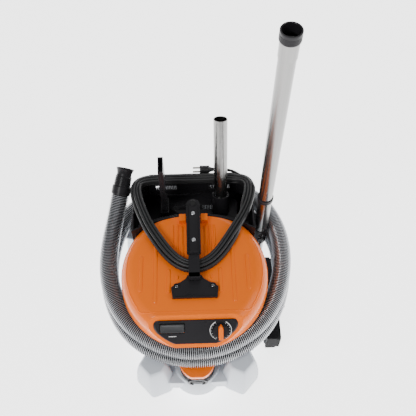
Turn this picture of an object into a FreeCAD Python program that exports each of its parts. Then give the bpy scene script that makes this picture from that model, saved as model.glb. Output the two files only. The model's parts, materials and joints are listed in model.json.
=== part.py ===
import FreeCAD, Part
import math
import os

# Canister vacuum cleaner on castors: a light grey chassis and tub, a lift-off black and orange
# motor head with a rear tool tray, two turns of hose round the tub, a mains cable looped over
# the head, and a telescopic wand, a hand tube, a crevice tool and a floor tool parked on it.
# Millimetres, +Z up, origin on the floor under the tub's axis, front towards -Y.

V = FreeCAD.Vector

# heights
WHEEL_R = 23.0
SKIRT_Z = 34.0
DECK_Z0, DECK_Z1 = 58.0, 104.0
TUB_Z0, TUB_Z1 = 66.0, 246.0
HOSE_REST_Z = 175.0
HEAD_Z = 249.0
TRAY_Z0, TRAY_RIM_Z = 262.0, 330.0
FLANGE_Z = 279.0
PLATEAU_Z = 345.0

# plan sizes
TUB_HALF, TUB_REAR_Y, TUB_CORNER = 145.0, 210.0, 95.0
COVER_R = 184.0
REAR_ARC_Y, REAR_ARC_R = -180.0, 327.0
LOBE_R = 52.0
FRONT_LOBE = (112.0, -179.0)
REAR_LOBE = (152.0, 200.0)
WALL = 3.0
RUN_GAP = 0.1

# sloping control panel: its top edge, and how far it leans back from level
FACET_TOP = V(0, -120.4, PLATEAU_Z)
FACET_TILT = 49.4
KNOB_X, KNOB_S = 58.0, 42.0
ROCKER_X, ROCKER_S = -55.0, 33.0

# tools
WAND_X, WAND_Y = 178.0, 146.0
WAND_R, WAND_INNER_R, WAND_TOP = 17.0, 13.5, 945.0
HAND_AT, HAND_DIR = V(74, 226, 305), V(0, math.sin(math.radians(25)), math.cos(math.radians(25)))
HAND_R = 17.5
CREVICE_X, CREVICE_Y, CREVICE_TOP = -76.0, 212.0, 484.0
TOOL_X0, TOOL_X1, TOOL_Y0, TOOL_Y1, TOOL_Z0, TOOL_Z1 = 192.0, 231.0, -95.0, 155.0, 3.0, 80.0
NECK_X, NECK_Y, NECK_Z = 237.0, 30.0, 46.0

# hose and mains cable
HOSE_D = 48.0
CABLE_D = 7.5
COIL_W, COIL_H = 30.0, 20.0
PLUG_X, PLUG_Y, PLUG_Z = 37.0, 303.0, 325.0

HOSE_ROUTE = [
    (25, 252, 196), (72, 252, 197), (121, 244, 199), (166, 221, 201), (201, 186, 201),
    (224, 141, 201), (232, 91, 201), (230, 40, 201), (219, -12, 201), (199, -62, 201),
    (169, -107, 201), (128, -142, 201), (80, -166, 201), (27, -178, 201), (-27, -178, 201),
    (-80, -166, 201), (-128, -142, 201), (-169, -107, 201), (-198, -62, 201), (-217, -12, 201),
    (-227, 38, 201), (-229, 90, 201), (-222, 142, 202), (-207, 192, 203), (-183, 237, 205),
    (-149, 274, 208), (-105, 299, 212), (-54, 310, 218), (-2, 312, 225), (50, 309, 233),
    (100, 297, 239), (150, 274, 243), (188, 237, 246), (212, 190, 249), (226, 143, 250),
    (231, 94, 250), (227, 42, 250), (215, -10, 250), (194, -59, 250), (163, -103, 250),
    (122, -137, 250), (75, -161, 250), (25, -173, 250), (-25, -173, 250), (-75, -161, 250),
    (-122, -136, 250), (-162, -102, 250), (-192, -60, 250), (-213, -12, 250), (-223, 38, 250),
    (-225, 86, 251), (-221, 132, 255), (-213, 175, 267), (-203, 211, 288), (-194, 240, 312),
]
CUFF_MOUTH = (-178, 292, 355)
COIL_HALF_ROUTE = [
    (0, -8, 356), (52, 14, 357), (108, 100, 357), (132, 158, 351), (147, 205, 345),
    (151, 238, 340), (142, 262, 333), (114, 275, 326), (60, 276, 325), (0, 276, 325),
]
TAIL_ROUTE = [(60, 303, 325), (78, 303, 325), (95, 300, 326), (110, 294, 327), (122, 285, 328)]


# ---------- shapes ----------

def box(x0, x1, y0, y1, z0, z1):
    return Part.makeBox(x1 - x0, y1 - y0, z1 - z0, V(x0, y0, z0))


def cyl(r, z0, z1, x=0.0, y=0.0):
    return Part.makeCylinder(r, z1 - z0, V(x, y, z0))


def rod(a, b, r):
    a, b = V(*a), V(*b)
    return Part.makeCylinder(r, (b - a).Length, a, b - a)


def cone(a, b, r0, r1):
    a, b = V(*a), V(*b)
    return Part.makeCone(r0, r1, (b - a).Length, a, b - a)


def fuse(*shapes):
    whole = shapes[0].fuse(list(shapes[1:])) if len(shapes) > 1 else shapes[0]
    return whole.removeSplitter()


def group(*shapes):
    return Part.makeCompound(list(shapes))


def mirror_x(shape):
    return shape.mirror(V(0, 0, 0), V(1, 0, 0))


def both_sides(shape):
    return [shape, mirror_x(shape)]


def plate(points, z0, z1):
    wire = Part.makePolygon([V(x, y, z0) for x, y in points + points[:1]])
    return Part.Face(wire).extrude(V(0, 0, z1 - z0))


def turned(start, edges, x=0.0, y=0.0):
    """Solid turned about a vertical axis: edges are (r, z) for a line or (r, z, r, z) for an arc."""
    path, here = [], V(start[0], 0, start[1])
    for edge in edges:
        end = V(edge[-2], 0, edge[-1])
        if len(edge) == 4:
            path.append(Part.Arc(here, V(edge[0], 0, edge[1]), end).toShape())
        else:
            path.append(Part.makeLine(here, end))
        here = end
    solid = Part.Face(Part.Wire(path)).revolve(V(0, 0, 0), V(0, 0, 1), 360)
    solid.translate(V(x, y, 0))
    return Part.Solid(solid) if solid.ShapeType != "Solid" else solid


def tub_prism(grow, z0, z1):
    """The tub's plan, round at the front and with two rounded corners at the rear, as a prism."""
    w, rear, c = TUB_HALF + grow, TUB_REAR_Y + grow, TUB_CORNER + grow
    k = c * (1 - math.sqrt(0.5))
    spots = [V(-w, 0, z0), V(0, -w, z0), V(w, 0, z0), V(w, rear - c, z0),
             V(w - k, rear - k, z0), V(w - c, rear, z0), V(c - w, rear, z0),
             V(k - w, rear - k, z0), V(-w, rear - c, z0)]
    edges = [Part.Arc(spots[0], spots[1], spots[2]).toShape(), Part.makeLine(spots[2], spots[3]),
             Part.Arc(spots[3], spots[4], spots[5]).toShape(), Part.makeLine(spots[5], spots[6]),
             Part.Arc(spots[6], spots[7], spots[8]).toShape(), Part.makeLine(spots[8], spots[0])]
    return Part.Face(Part.Wire(edges)).extrude(V(0, 0, z1 - z0))


def on_facet(shape):
    """Moves a shape from the panel's own axes (X, up the slope, out of it) to its place."""
    shape.rotate(V(0, 0, 0), V(1, 0, 0), FACET_TILT)
    shape.translate(FACET_TOP)
    return shape


def slab(x0, x1, s0, s1, n0, n1):
    """A box on the sloping panel: s runs down the slope from its top edge, n outwards."""
    return on_facet(box(x0, x1, -s1, -s0, n0, n1))


def facet_rod(x, s, r, n0, n1):
    return on_facet(cyl(r, n0, n1, x, -s))


def tiles(shape, boxes):
    """The parts of a shape inside each box, which meet face to face."""
    return [solid for limits in boxes for solid in shape.common(box(*limits)).Solids]


def sectors(at, axis, r_in, r_out, long, count=8):
    """A ring about an axis from point at, in equal sectors that meet face to face."""
    ring = []
    for k in range(count):
        part = Part.makeCylinder(r_out, long, at, axis, 360 / count)
        part = part.cut(Part.makeCylinder(r_in, long + 2, at - axis, axis))
        part.rotate(at, axis, 360 / count * k)
        ring.append(part)
    return ring


def before_rear_arc(shrink, z0=200.0, z1=420.0):
    return cyl(REAR_ARC_R - shrink, z0, z1, 0, REAR_ARC_Y)


def path_of(points):
    """Straight runs joined by tangent arcs; returns the wire, its length and the arcs' radii."""
    spots = [V(*p) for p in points]
    edges, radii, here = [], [], spots[0]
    for before, corner, after in zip(spots, spots[1:], spots[2:]):
        back, on = before - corner, after - corner
        shorter = min(back.Length, on.Length)
        back.normalize()
        on.normalize()
        turn = math.pi - back.getAngle(on)
        radius = 0.45 * shorter / math.tan(turn / 2)
        radii.append(radius)
        first, last = corner + back * 0.45 * shorter, corner + on * 0.45 * shorter
        inward = back + on
        inward.normalize()
        middle = corner + inward * (radius / math.cos(turn / 2) - radius)
        edges += [Part.LineSegment(here, first).toShape(), Part.Arc(first, middle, last).toShape()]
        here = last
    edges.append(Part.LineSegment(here, spots[-1]).toShape())
    wire = Part.Wire(edges)
    return wire, wire.Length, radii


def tube_along(points, diameter, label):
    wire, length, radii = path_of(points)
    start, on = V(*points[0]), V(*points[1]) - V(*points[0])
    circle = Part.Wire(Part.makeCircle(diameter / 2, start, on))
    solid = wire.makePipeShell([circle], True, False)
    section = math.pi * diameter ** 2 / 4
    print(f"{label}: {length:.0f} mm long, radii {min(radii):.0f} to {max(radii):.0f} mm,",
          f"volume / (section x length) {solid.Volume / (section * length):.4f}")
    return solid


def band_along(points, width, height):
    """A flat band whose section stays upright along its path."""
    wire = path_of(points)[0]
    x, y, z = points[0]
    corners = [V(x, y + dy, z + dz) for dy, dz in
               ((-width / 2, -height / 2), (width / 2, -height / 2),
                (width / 2, height / 2), (-width / 2, height / 2))]
    shell = Part.BRepOffsetAPI.MakePipeShell(wire)
    shell.setBiNormalMode(V(0, 0, 1))
    shell.add(Part.makePolygon(corners + corners[:1]))
    shell.build()
    shell.makeSolid()
    return shell.shape()


# ---------- chassis and castors ----------

def lobe(x, y, r, top, shrink=0.0):
    low = SKIRT_Z - 1 if shrink else SKIRT_Z
    return turned((0, low), [(r - shrink, low), (r - 5 - shrink, (low + top) / 2 + 6,
                                                 r - 18 - shrink, top - shrink), (0, top - shrink), (0, low)], x, y)


def front_bulge():
    return turned((0, 42), [(70, 42), (68, 84, 56, 112), (0, 112), (0, 42)], 0, -160)


def castor_base():
    corners = [(FRONT_LOBE, 1), (FRONT_LOBE, -1), (REAR_LOBE, 1), (REAR_LOBE, -1)]
    places = [(side * spot[0], spot[1]) for spot, side in corners]
    half = [(0, -215), (95, -215), (150, -175), (158, -60), (158, 60), (196, 190), (165, 245), (0, 232)]
    domes = [lobe(x, y, LOBE_R, HOSE_REST_Z) for x, y in places]
    feet = []
    for (x, y), dome in zip(places, domes):
        room = lobe(x, y, LOBE_R, HOSE_REST_Z, 4)
        ribs = fuse(cyl(12, DECK_Z0, 98, x, y), box(x - 50, x + 50, y - 2.5, y + 2.5, DECK_Z0 + 2, 98),
                    box(x - 2.5, x + 2.5, y - 50, y + 50, DECK_Z0 + 2, 98)).common(room)
        feet.append(fuse(dome.cut([room, cyl(48, SKIRT_Z - 1, DECK_Z0, x, y)]), ribs))
    rests = both_sides(fuse(cyl(40, 164, HOSE_REST_Z, 172, 215),
                            cone((166, 211, 110), (172, 215, 164), 16, 40)).cut(domes))
    cup = cyl(20, 86, 120, WAND_X, WAND_Y).cut(domes + rests)
    bulge = front_bulge().cut(domes)
    deck = plate(half + [(-x, y) for x, y in half[:0:-1] if x], DECK_Z0, DECK_Z1)
    deck = deck.cut(domes + rests + [cup, bulge, tub_prism(-12, DECK_Z0 - 20, TUB_Z0 - 4)])
    deck = tiles(deck, [(-220, 220, -240, -60, 50, 110), (-220, 220, -60, 60, 50, 110),
                        (-220, 220, 60, 260, 50, 110)])
    holes = [cyl(5 + RUN_GAP, DECK_Z0 - 1, 94, x, y) for x, y in places]
    holes += [cyl(14.2, 90, 200, WAND_X, WAND_Y),
              box(WAND_X - 14.2, WAND_X + 14.2, WAND_Y - 60, WAND_Y, 90, 121),
              tub_prism(0.5, TUB_Z0, HOSE_REST_Z + 1)]
    return group(*[solid for shape in feet + rests + [cup, bulge] + deck for solid in shape.cut(holes).Solids])


def castor_fork(x, y):
    cheeks = [box(x + a, x + a + 3, y - 6, y + 26, 17, 50) for a in (-13.5, 10.5)]
    body = fuse(cyl(5, 49, 92, x, y), cyl(18, 49, 53, x, y), box(x - 13.5, x + 13.5, y - 6, y + 26, 47.5, 50),
                *cheeks)
    return body.cut(rod((x - 20, y + 18, WHEEL_R), (x + 20, y + 18, WHEEL_R), 3 + RUN_GAP / 2))


def castor_wheel(x, y):
    centre = y + 18
    tread = rod((x - 9, centre, WHEEL_R), (x + 9, centre, WHEEL_R), WHEEL_R)
    tread = tread.cut(rod((x - 10, centre, WHEEL_R), (x + 10, centre, WHEEL_R), 3))
    return group(tread, rod((x - 13.5, centre, WHEEL_R), (x + 13.5, centre, WHEEL_R), 3))


# ---------- tub ----------

def tank():
    lugs = both_sides(fuse(box(140, 157, -28, -22, 221, 235), box(140, 157, 22, 28, 221, 235)))
    pin_bores = both_sides(rod((152, -30, 228), (152, 30, 228), 2))
    shell = fuse(tub_prism(0, TUB_Z0, TUB_Z1), *lugs)
    return shell.cut([tub_prism(-WALL, TUB_Z0 + WALL, TUB_Z1 + 1),
                      rod((-45, 180, 196), (-45, 230, 196), 22)] + pin_bores)


def tank_seal():
    return tub_prism(0, TUB_Z1, HEAD_Z - 0.3).cut(tub_prism(-6, TUB_Z1 - 1, HEAD_Z))


def latch():
    lever = fuse(box(149.3, 155, -21.5, 21.5, 228, 270), rod((152, -21.5, 228), (152, 21.5, 228), 4),
                 box(154, 160, -14, 14, 262, 268))
    return lever.cut(rod((152, -30, 228), (152, 30, 228), 2 + RUN_GAP))


def front_boss():
    body = fuse(box(-46, 46, -212, -150, 112, 156), cyl(46, 60, 156, 0, -176).common(
        box(-46, 46, -222, -150, 60, 156)))
    inlet = rod((0, -230, 100), (0, -208, 100), 20)
    return body.cut([inlet, tub_prism(1, 60, 200), box(-60, 60, -215, -100, 50, DECK_Z1), front_bulge()])


def boss_cap():
    cap = fuse(box(-46, 46, -212, -150, 156, 176), cyl(46, 156, 176, 0, -176).common(
        box(-46, 46, -222, -150, 156, 176)))
    return cap.cut(tub_prism(1, 150, 200))


def inlet_elbow():
    y, z = 252, 196
    outside = fuse(rod((-45, 210.5, z), (-45, y, z), 26), Part.makeSphere(26, V(-45, y, z)),
                   rod((-45, y, z), (-6, y, z), 26), rod((-45, 203, z), (-45, 212, z), 21.9))
    inside = fuse(rod((-45, 190, z), (-45, y, z), 19), Part.makeSphere(19, V(-45, y, z)),
                  rod((-45, y, z), (0, y, z), 19))
    return outside.cut([inside, tub_prism(0, z - 40, z + 40).cut(rod((-45, 190, z), (-45, 215, z), 22))])


def cuff_inlet():
    return rod((-6, 252, 196), (25, 252, 196), 28).cut(rod((-7, 252, 196), (5, 252, 196), 19))


def cuff_hand():
    start, mouth = V(*HOSE_ROUTE[-1]), V(*CUFF_MOUTH)
    on = mouth - start
    on.normalize()

    def at(t):
        return tuple(start + on * t)

    long = (mouth - start).Length
    body = fuse(rod(at(0), at(22), 25), cone(at(22), at(long - 14), 22, 19.5),
                cone(at(long - 14), at(long), 19.5, 24))
    return body.cut([rod(at(14), at(long + 5), 16.5), cone(at(long - 13), at(long + 0.1), 16.5, 21)])


# ---------- motor head ----------

def tray_plan(inset):
    w0, w1, rear, c = 160 - inset, 150 - inset, 268 - inset, 30
    half = [(w1, rear - c), (w1 - 0.13 * c, rear - 0.5 * c), (w1 - 0.5 * c, rear - 0.13 * c), (w1 - c, rear)]
    right = [(w0, 60)] + half
    return right + [(-x, y) for x, y in right[::-1]]


def tool_tray():
    outer = plate(tray_plan(0), TRAY_Z0, 338).cut(cyl(REAR_ARC_R + 1, 200, 400, 0, REAR_ARC_Y))
    inner = plate(tray_plan(4), TRAY_Z0, 400).cut(cyl(REAR_ARC_R + 5, 200, 400, 0, REAR_ARC_Y))
    lowered = box(-200, 200, 170, 320, TRAY_RIM_Z, 400)
    slope = plate([(-200, 0), (200, 0), (200, 80), (-200, 80)], 0, 60)
    slope.rotate(V(0, 0, 0), V(1, 0, 0), -15)
    slope.translate(V(0, 205, TRAY_RIM_Z))
    slots = [box(side * 72 - 28, side * 72 + 28, 255, 275, 287, 307) for side in (-1, 1)]
    low, high = TRAY_Z0 + 4, 400
    walls = tiles(outer.cut([inner, lowered, slope] + slots),
                  [(x, x + 40, 60, 156, low, high) for x in range(-160, 160, 40)] +
                  [(-170, -130, 156, 238, low, high), (130, 170, 156, 238, low, high),
                   (-170, -120, 238, 300, low, high), (120, 170, 238, 300, low, high)] +
                  [(-120, 120, 238, 300, a, b) for a, b in ((low, 287), (287, 307), (307, high))])
    sink, foot, lip = (HAND_AT + HAND_DIR * t for t in (-46, -31, 8))
    socket = rod(tuple(sink), tuple(lip), 23)
    floor = outer.common(box(-200, 200, 0, 300, TRAY_Z0, low))
    floor = floor.cut([box(-52, 52, 213, 227, TRAY_Z0 - 1, low + 1), socket])
    step = rod(tuple(sink), tuple(foot), 23).cut(box(0, 150, 100, 300, 200, TRAY_Z0))
    ledge = plate([(-118, 262), (118, 262), (128, 276), (118, 300), (-118, 300), (-128, 276)], 309, 313)
    rails = both_sides(plate([(156.7, 118), (160.5, 118), (156, 200), (152.1, 200)], 325, TRAY_RIM_Z))
    x, y = CREVICE_X, CREVICE_Y
    pocket = [box(x + a, x + b, y + c, y + d, low, 294) for a, b, c, d in
              ((-11, -7.2, -24, 24), (7.2, 11, -24, 24), (-7.2, 7.2, -24, -20.4), (-7.2, 7.2, 20.4, 24))]
    holder = plate([(150, 132), (168, 132), (168, 160), (150, 160)], 285, 297)
    x, y = WAND_X, WAND_Y
    arm = fuse(holder, cyl(22, 285, 297, x, y),
               *[box(x + a, x + a + 4, y - 9, y, 285, 297) for a in (-22, 18)])
    arm = arm.cut([cyl(WAND_R + 1, 280, 300, x, y), box(x - 18, x + 18, y - 30, y, 280, 300), outer])
    loose = [shape.cut(outer) for shape in [ledge] + rails]
    return group(*walls, floor, step, *sectors(foot, HAND_DIR, HAND_R + 0.4, 23, 39), *loose, *pocket, arm)


def head_base():
    tray_room = plate(tray_plan(-1), TRAY_Z0, 400).cut(cyl(REAR_ARC_R, 200, 400, 0, REAR_ARC_Y))
    floor = tub_prism(2, HEAD_Z, TRAY_Z0)
    wall = cyl(142, TRAY_Z0 - 1, FLANGE_Z + 4).cut(cyl(138, TRAY_Z0 - 2, FLANGE_Z + 5))
    rim = cyl(179.5, FLANGE_Z, FLANGE_Z + 4).cut(cyl(142, FLANGE_Z - 1, FLANGE_Z + 5))
    rim = rim.cut([tray_room, slab(-300, 300, -100, 300, -WALL - 1, 200)]).common(before_rear_arc(8))
    return group(fuse(floor, wall).cut(cyl(42, HEAD_Z - 1, TRAY_Z0 + 1)), *rim.Solids)


def cover_form(shrink):
    return turned((0, 270), [(COVER_R + 0.5 - shrink, 270), (181 - shrink, 310),
                             (169 - shrink * 0.9, 334 - shrink * 0.6, 148 - shrink * 0.6, PLATEAU_Z - shrink),
                             (0, PLATEAU_Z - shrink), (0, 270)])


def motor_cover():
    outer = cover_form(0).cut(slab(-300, 300, -100, 300, 0, 200)).common(before_rear_arc(1))
    inner = cover_form(WALL).cut(slab(-300, 300, -100, 300, -WALL, 200)).common(before_rear_arc(1 + WALL))
    lugs = both_sides(box(19, 36, 122, 142, PLATEAU_Z, 362))
    ribs = []
    for x, y0, y1 in ((27, -20, 62), (41, -30, 118), (52, -8, 118)):
        ribs += both_sides(box(x - 2, x + 2, y0, y1, PLATEAU_Z - 1, PLATEAU_Z + 2.5))
    body = fuse(outer.cut(inner), *ribs)
    tray_room = plate(tray_plan(-1), TRAY_Z0, 400).cut(cyl(REAR_ARC_R, 200, 400, 0, REAR_ARC_Y))
    windows = [slab(ROCKER_X - 29, ROCKER_X + 29, ROCKER_S - 13, ROCKER_S + 13, -10, 5),
               facet_rod(KNOB_X, KNOB_S, 3 + RUN_GAP, -20, 5), box(-200, 200, -200, 200, 260, FLANGE_Z)]
    band_room = [coil_room(side) for side in (1, -1)]
    return group(body.cut(windows + [tray_room] + band_room), *lugs)


def coil_room(side):
    """Clears the ribs from under the cable band where it crosses the plateau."""
    points = [(-6, -34), (60, -16), (140, 105), (140, 160), (110, 160), (76, 104), (38, 32), (-6, 18)]
    return plate([(side * x, y) for x, y in points], PLATEAU_Z, 400)


def control_panel():
    form = cover_form(5)
    panel = form.common(slab(-300, 300, 13, 75, 0, 3))
    return panel.cut([slab(ROCKER_X - 29, ROCKER_X + 29, ROCKER_S - 13, ROCKER_S + 13, -1, 5),
                      facet_rod(KNOB_X, KNOB_S, 3 + RUN_GAP, -1, 5)])


def power_rocker():
    pivot = on_facet(rod((ROCKER_X - 28.8, -ROCKER_S, -2), (ROCKER_X + 28.8, -ROCKER_S, -2), 1.5))
    return fuse(slab(ROCKER_X - 28, ROCKER_X + 28, ROCKER_S - 11, ROCKER_S + 11, -5, 5), pivot)


def knob_base():
    return fuse(facet_rod(KNOB_X, KNOB_S, 19, 3.4, 9), facet_rod(KNOB_X, KNOB_S, 3, -16, 4))


def knob_grip():
    return slab(KNOB_X - 5.5, KNOB_X + 5.5, KNOB_S - 20, KNOB_S + 17, 9, 20)


def carry_handle():
    foot = plate([(-55, -81), (55, -81), (54, -52), (19, -27), (-19, -27), (-54, -52)], PLATEAU_Z, 356)
    leg = box(-14, 14, -40, -27, 356, 376)
    strip = box(-13.5, 13.5, -27, 20, 368, 376)
    bar = fuse(box(-17, 17, 20, 158, 372, 379), cyl(17, 372, 379, 0, 158),
               *both_sides(box(13, 17, 20, 158, 378, 386)))
    rear_leg = box(-17, 17, 124, 141, PLATEAU_Z, 372)
    holes = [cyl(6, 360, 400, 0, 162), box(-19, 19, -73, -67, 351, 360)]
    holes += [cyl(2.6, 372, 400, 0, y) for y in (58, 133)] + [cyl(5, 352, 360, x, -52) for x in (-43, 43)]
    return group(*[shape.cut(holes) for shape in (foot, leg, strip, bar, rear_leg)])


def handle_screws():
    on_bar = [fuse(cyl(5, 379, 381.5, 0, y), cyl(2.6, 372, 380, 0, y)) for y in (58, 133)]
    in_foot = [cyl(4.5, 352, 354.5, x, -52) for x in (-43, 43)]
    return group(*on_bar, *in_foot)


def fan_housing():
    shell = cyl(70, TRAY_Z0, 288).cut(cyl(66, TRAY_Z0 - 1, 285))
    return shell.cut(cyl(6, 280, 290))


def motor_stator():
    shell = cyl(58, 288, 331).cut(cyl(30, 287, 328))
    return fuse(shell, cyl(16, 330, 336)).cut(cyl(5 + RUN_GAP, 280, 340))


def rotor():
    return fuse(cyl(5, 264, 334), cyl(27, 294, 324))


def impeller():
    blades = []
    for k in range(8):
        blade = box(18, 60, -1.5, 1.5, 267, 279)
        blade.rotate(V(0, 0, 0), V(0, 0, 1), 45 * k)
        blades.append(blade)
    return fuse(cyl(62, 278, 281), cyl(19, 267, 281), *blades).cut(cyl(5, 260, 290))


def filter_cage():
    shell = cyl(72, 150, HEAD_Z).cut([cyl(69, 153, HEAD_Z + 1)])
    windows = []
    for k in range(8):
        window = box(60, 80, -17, 17, 166, 238)
        window.rotate(V(0, 0, 0), V(0, 0, 1), 45 * k)
        windows.append(window)
    return shell.cut(windows)


def filter_cartridge():
    return cyl(66, 155, HEAD_Z - 1).cut(cyl(46, 160, HEAD_Z))


def power_switch():
    return slab(ROCKER_X - 26, ROCKER_X + 26, ROCKER_S - 9, ROCKER_S + 9, -24, -8)


def speed_control():
    board = slab(-88, 88, 14, 46, -26, -24)
    return group(board, facet_rod(KNOB_X, KNOB_S, 9, -24, -17))


def cable_gland():
    return cone((104, 122, 318), (117, 148, 327), 8, 6).cut(cyl(REAR_ARC_R + 5, 200, 400, 0, REAR_ARC_Y))


def cable_coil():
    half = band_along(COIL_HALF_ROUTE, COIL_W, COIL_H)
    whole = half.fuse(mirror_x(half)).removeSplitter()
    low, high = 300, 400
    length = 2 * path_of(COIL_HALF_ROUTE)[1]
    print(f"cable coil: one turn {length:.0f} mm, volume / (section x length)",
          f"{whole.Volume / (COIL_W * COIL_H * length):.4f}, valid {whole.isValid()}")
    return group(*tiles(whole, [(-200, 200, -40, 20, low, high), (-200, 0, 20, 200, low, high),
                                (0, 200, 20, 200, low, high), (-200, -100, 200, 320, low, high),
                                (100, 200, 200, 320, low, high), (-100, 100, 200, 320, low, high)]))


def plug_body():
    return fuse(rod((20, PLUG_Y, PLUG_Z), (46, PLUG_Y, PLUG_Z), 11.5),
                cone((46, PLUG_Y, PLUG_Z), (60, PLUG_Y, PLUG_Z), 8, 4.5))


def plug_pins():
    return group(*[rod((1, PLUG_Y + a, PLUG_Z), (20, PLUG_Y + a, PLUG_Z), 2.4) for a in (-6.5, 6.5)])


# ---------- tools ----------

def hand_tube():
    low, top = HAND_AT - HAND_DIR * 30, HAND_AT + HAND_DIR * 228
    return rod(tuple(low), tuple(top), HAND_R).cut(rod(tuple(low - HAND_DIR), tuple(top + HAND_DIR), HAND_R - 1.5))


def crevice_tool():
    x, y = CREVICE_X, CREVICE_Y
    body = box(x - 6.5, x + 6.5, y - 19.5, y + 19.5, TRAY_Z0 + 5, CREVICE_TOP)
    tip = box(x - 20, x + 20, -60, 0, 0, 60)
    tip.rotate(V(0, 0, 0), V(1, 0, 0), 14)
    tip.translate(V(0, y + 19.5, CREVICE_TOP))
    return body.cut([box(x - 4, x + 4, y - 17, y + 17, TRAY_Z0, CREVICE_TOP + 1), tip])


def wand_inner():
    return cyl(WAND_INNER_R, 90.3, 660, WAND_X, WAND_Y).cut(cyl(WAND_INNER_R - 1.5, 80, 700, WAND_X, WAND_Y))


def wand_outer():
    return cyl(WAND_R, 268, 915, WAND_X, WAND_Y).cut(cyl(WAND_R - 1.5, 260, 930, WAND_X, WAND_Y))


def wand_collar():
    mouth = cyl(20.5, 885, WAND_TOP, WAND_X, WAND_Y).cut(cyl(WAND_R + 0.1, 880, 950, WAND_X, WAND_Y))
    ring = cyl(19.5, 415, 428, WAND_X, WAND_Y).cut(cyl(WAND_R, 410, 430, WAND_X, WAND_Y))
    return group(mouth, ring)


def wand_adjuster():
    x, y = WAND_X, WAND_Y
    body = cyl(17.6, 214, 268, x, y).cut(cyl(WAND_INNER_R + RUN_GAP, 210, 270, x, y))
    sleeve = cyl(18.2, 268, 280, x, y).cut(cyl(WAND_R, 260, 290, x, y))
    return fuse(body, sleeve).cut(box(x - 6.5, x + 6.5, y - 30, y - 10, 231, 249))


def adjuster_button():
    return box(WAND_X - 6, WAND_X + 6, WAND_Y - 22, WAND_Y - 17.2, 231.5, 248.5)


def tool_bracket():
    rail = box(158, TOOL_X0 - 1, 5, 55, DECK_Z0 + 2, 78)
    pegs = [rod((185, y, 69), (206, y, 69), 4) for y in (15, 45)]
    return fuse(rail, *pegs)


def floor_tool_body():
    body = box(TOOL_X0, TOOL_X1, TOOL_Y0, TOOL_Y1, TOOL_Z0, TOOL_Z1)
    for y in (TOOL_Y0, TOOL_Y1):
        for z in (TOOL_Z0, TOOL_Z1):
            edge = box(TOOL_X1 - 12, TOOL_X1 + 12, y - 12, y + 12, z - 12, z + 12)
            away = 1 if y == TOOL_Y0 else -1
            up = 1 if z == TOOL_Z0 else -1
            body = body.cut(edge.cut(rod((TOOL_X1 - 12, y + away * 12, z + up * 12),
                                         (TOOL_X1 + 13, y + away * 12, z + up * 12), 12)))
    cuts = [rod((TOOL_X0 - 1, y, 69), (TOOL_X0 + 18, y, 69), 4.6) for y in (15, 45)]
    cuts += [box(TOOL_X0 - 1, TOOL_X0 + 10, TOOL_Y0 + 10, TOOL_Y1 - 10, 26, 36),
             rod((NECK_X, NECK_Y - 21, NECK_Z), (NECK_X, NECK_Y + 21, NECK_Z), 18.5),
             cyl(18.5, NECK_Z, TOOL_Z1 + 1, NECK_X + 1, NECK_Y),
             box(TOOL_X1 - 10, TOOL_X1 + 1, 84, 118, 30, 56)]
    cuts += [box(TOOL_X0 - 1, TOOL_X0 + 12, y - 8, y + 8, 54, 76) for y in (TOOL_Y0 + 22, TOOL_Y1 - 22)]
    pivots = [rod((NECK_X, NECK_Y + a, NECK_Z), (NECK_X, NECK_Y + b, NECK_Z), 5) for a, b in ((-26, -15), (15, 26))]
    ears = [box(TOOL_X1 - 6, NECK_X + 6, NECK_Y + a, NECK_Y + a + 5, NECK_Z - 8, NECK_Z + 8) for a in (-26, 21)]
    return fuse(body.cut(cuts), *ears, *pivots)


def floor_tool_neck():
    knuckle = rod((NECK_X, NECK_Y - 20, NECK_Z), (NECK_X, NECK_Y + 20, NECK_Z), 17.5)
    spout = cyl(17.5, NECK_Z, 150, NECK_X + 1, NECK_Y)
    body = fuse(knuckle, spout)
    return body.cut([cyl(14.2, NECK_Z + 24, 151, NECK_X + 1, NECK_Y),
                     rod((NECK_X, NECK_Y - 26, NECK_Z), (NECK_X, NECK_Y + 26, NECK_Z), 5 + RUN_GAP)])


def floor_tool_pedal():
    return fuse(box(TOOL_X1 - 7, TOOL_X1 + 3, 86, 116, 33, 53), rod((227, 84.5, 43), (227, 117.5, 43), 2.5))


def floor_tool_rollers():
    wheels = []
    for y in (TOOL_Y0 + 22, TOOL_Y1 - 22):
        wheels.append(rod((TOOL_X0 + 1, y - 7, 65), (TOOL_X0 + 1, y + 7, 65), 9.5))
    return group(*wheels)


def floor_tool_brush():
    return box(TOOL_X0 - 3, TOOL_X0, TOOL_Y0 + 12, TOOL_Y1 - 12, 8, 14)


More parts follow.
